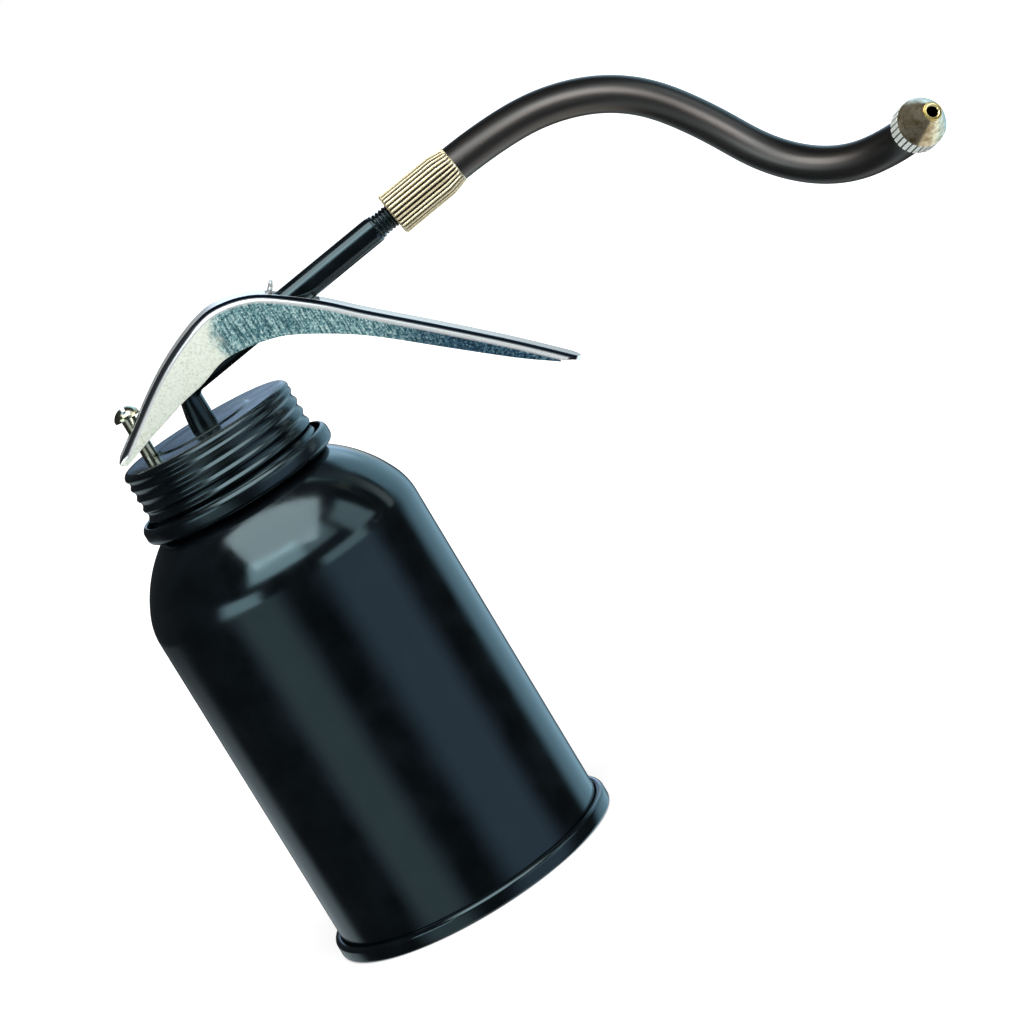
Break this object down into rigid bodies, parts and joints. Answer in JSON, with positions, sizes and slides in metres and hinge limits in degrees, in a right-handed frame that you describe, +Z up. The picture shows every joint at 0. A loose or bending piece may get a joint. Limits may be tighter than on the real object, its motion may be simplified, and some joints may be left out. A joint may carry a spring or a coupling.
{
  "type": "flex spout oil can",
  "caption": "Steel oil can with a screw cap, a lever pump in the cap, a sloping spout tube and a bendable rubber hose with a pointed nozzle.",
  "frame": {"origin": "centre of the foot rim, in the plane that the can stands on", "axes": "+Z up along the can's axis, +X towards the spout, -Y towards the front that the nozzle faces"},
  "size_m": [0.2355, 0.0915, 0.1672],
  "materials": {
    "black_enamel": "glossy black baked enamel on steel",
    "zinc_plate": "bright zinc plate on folded steel sheet",
    "knurled_brass": "turned and knurled bare brass",
    "bare_brass": "turned brass, as cut",
    "nickel_plate": "dull nickel plate on turned brass",
    "bright_steel": "bright turned steel",
    "black_rubber": "satin black oil-resistant rubber",
    "cork_rubber": "cork and rubber sheet",
    "packing_felt": "oiled leather and fibre packing"
  },
  "bodies": {
    "can": {"can_body": "black_enamel", "base_cup": "black_enamel"},
    "gasket": {"cap_gasket": "cork_rubber"},
    "pump_head": {"screw_cap": "black_enamel", "pump_head_block": "bare_brass", "gland_packing": "packing_felt", "gland_nut": "bare_brass", "pump_barrel": "bare_brass", "foot_valve_body": "bare_brass", "foot_valve_cage": "bare_brass", "suction_tube": "bare_brass", "strainer": "bright_steel", "spout_tube": "black_enamel", "return_spring": "bright_steel"},
    "foot_ball": {"foot_valve_ball": "bright_steel"},
    "plunger": {"pump_rod": "bright_steel", "piston": "bare_brass", "piston_cup": "packing_felt"},
    "plunger_ball": {"piston_ball": "bright_steel"},
    "hand_lever": {"lever": "zinc_plate"},
    "washer": {"coupling_washer": "packing_felt"},
    "hose": {"coupling_nut": "knurled_brass", "hose_nipple": "bare_brass", "flex_hose": "black_rubber"},
    "nozzle_end": {"nozzle": "nickel_plate", "nozzle_nipple": "bare_brass", "nozzle_tip": "knurled_brass"}
  },
  "joints": [
    {"name": "head_rise", "type": "slide", "parent": "can", "child": "gasket", "axis": [0, 0, 1], "range_m": [0, 0.00901]},
    {"name": "head_turn", "type": "hinge", "parent": "gasket", "child": "pump_head", "pos_m": [0, 0, 0.1352], "axis": [0, 0, 1], "range_deg": [0, 1080]},
    {"name": "lever_press", "type": "hinge", "parent": "pump_head", "child": "hand_lever", "pos_m": [0.0312, 0, 0.1559], "axis": [0, 1, 0], "range_deg": [0, 12], "stiffness_Nm_per_rad": 2.5, "springref_deg": -5.73},
    {"name": "rod_lift", "type": "slide", "parent": "pump_head", "child": "plunger", "axis": [0, 0, 1], "range_m": [0, 0.0097], "deforming": ["return_spring"]},
    {"name": "piston_ball_lift", "type": "slide", "parent": "plunger", "child": "plunger_ball", "axis": [0, 0, 1], "range_m": [0, 0.0015]},
    {"name": "foot_ball_lift", "type": "slide", "parent": "pump_head", "child": "foot_ball", "axis": [0, 0, 1], "range_m": [0, 0.0015]},
    {"name": "coupling_advance", "type": "slide", "parent": "pump_head", "child": "washer", "axis": [0.9885, 0, 0.1513], "range_m": [0, 0.00401]},
    {"name": "coupling_turn", "type": "hinge", "parent": "washer", "child": "hose", "pos_m": [0.06816, 0, 0.1579], "axis": [0.9885, 0, 0.1513], "range_deg": [0, 1440]},
    {"name": "spout_bend", "type": "hinge", "parent": "hose", "child": "nozzle_end", "pos_m": [0.149, -0.0025, 0.136], "axis": [0, 1, 0], "range_deg": [-25, 30], "deforming": ["flex_hose"]}
  ],
  "couplings": [
    {"joint": "head_rise", "follows": "head_turn", "m_per_rad": 0.00047746},
    {"joint": "rod_lift", "follows": "lever_press", "m_per_rad": 0.0462},
    {"joint": "coupling_advance", "follows": "coupling_turn", "m_per_rad": 0.00015915}
  ]
}
